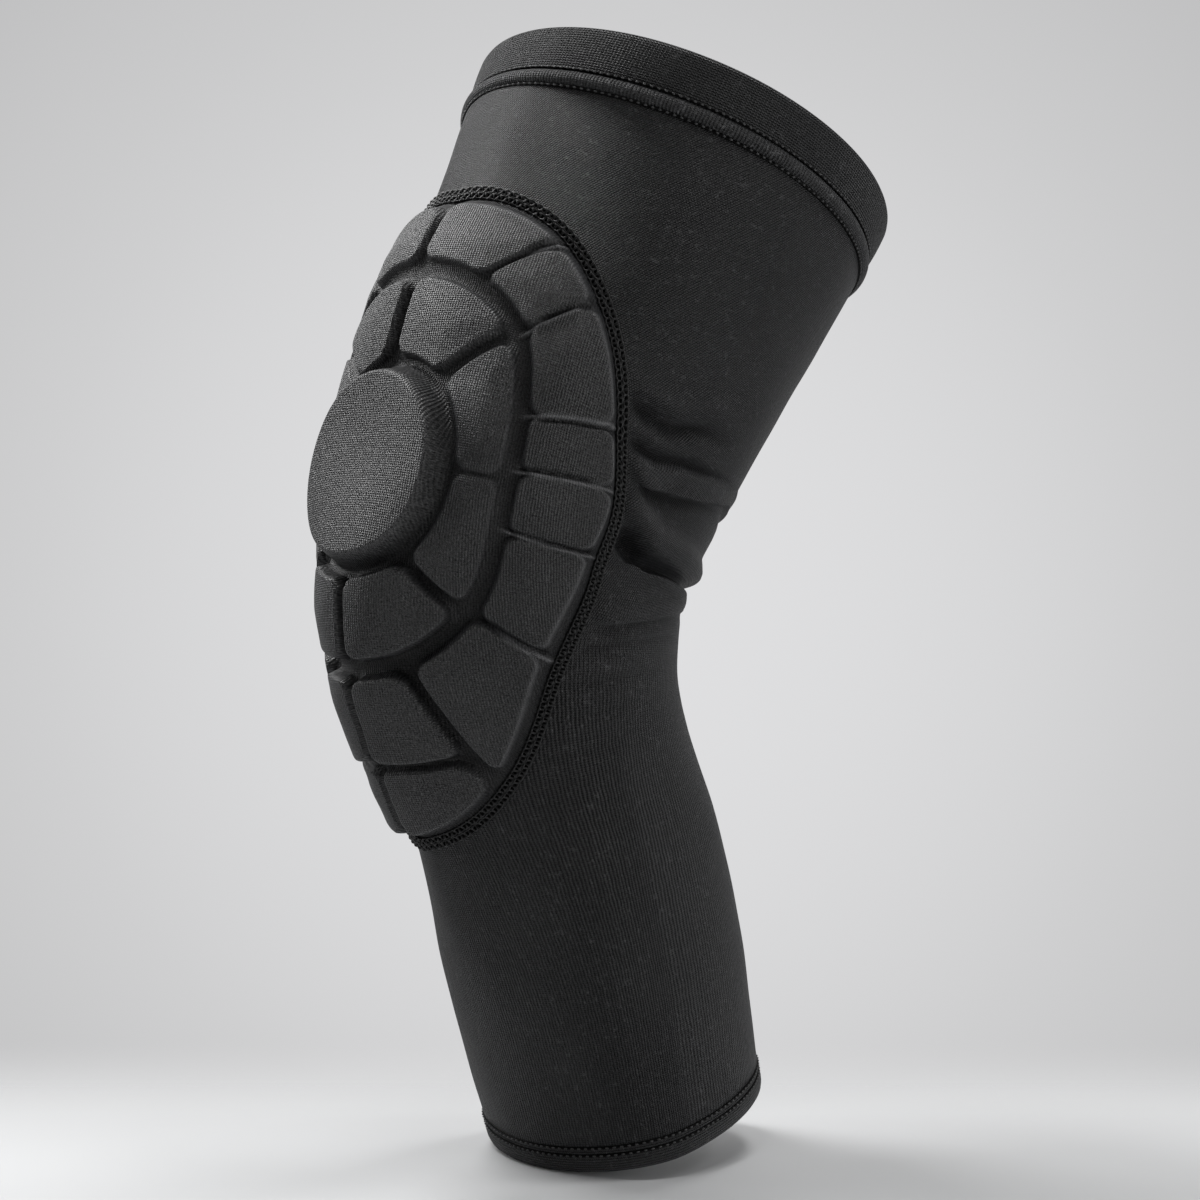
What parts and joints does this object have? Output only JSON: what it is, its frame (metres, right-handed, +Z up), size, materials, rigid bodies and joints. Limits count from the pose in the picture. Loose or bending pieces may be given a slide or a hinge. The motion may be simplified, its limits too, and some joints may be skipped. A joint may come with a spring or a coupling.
{
  "type": "bmx knee pad",
  "caption": "Long stretch-knit sleeve worn on a bent knee, with a moulded shield-shaped pad of raised blocks round a kneecap disc, a top welt seam and a stitched hem.",
  "frame": {"origin": "middle of the knee inside the sleeve, on the leg's centre line where it bends", "axes": "+Z up with the wearer standing, -Y to the front of the leg where the pad is, +X to the right side seen from the front"},
  "size_m": [0.151, 0.217, 0.3819],
  "materials": {
    "knit": "matt fine stretch knit",
    "welt": "matt knit rolled over a seam",
    "pad_floor": "matt knit pressed into the grooves",
    "pad_block": "matt knit over moulded foam",
    "seam_thread": "matt overlock thread"
  },
  "bodies": {
    "root": {"sleeve": "knit", "upper_cuff": "knit", "upper_welt": "welt", "lower_hem": "knit", "pad_base": "pad_floor", "pad_seam": "seam_thread", "kneecap_disc": "pad_block", "inner_block_right_1": "pad_block", "inner_block_right_2": "pad_block", "inner_block_right_3": "pad_block", "inner_block_right_4": "pad_block", "inner_block_left_1": "pad_block", "inner_block_left_2": "pad_block", "inner_block_left_3": "pad_block", "inner_block_left_4": "pad_block", "outer_block_right_1": "pad_block", "outer_block_right_2": "pad_block", "outer_block_right_3": "pad_block", "outer_block_right_4": "pad_block", "outer_block_right_5": "pad_block", "outer_block_right_6": "pad_block", "outer_block_right_7": "pad_block", "outer_block_right_8": "pad_block", "outer_block_left_1": "pad_block", "outer_block_left_2": "pad_block", "outer_block_left_3": "pad_block", "outer_block_left_4": "pad_block", "outer_block_left_5": "pad_block", "outer_block_left_6": "pad_block", "outer_block_left_7": "pad_block", "outer_block_left_8": "pad_block", "tip_block_right": "pad_block", "tip_block_left": "pad_block"}
  },
  "joints": []
}
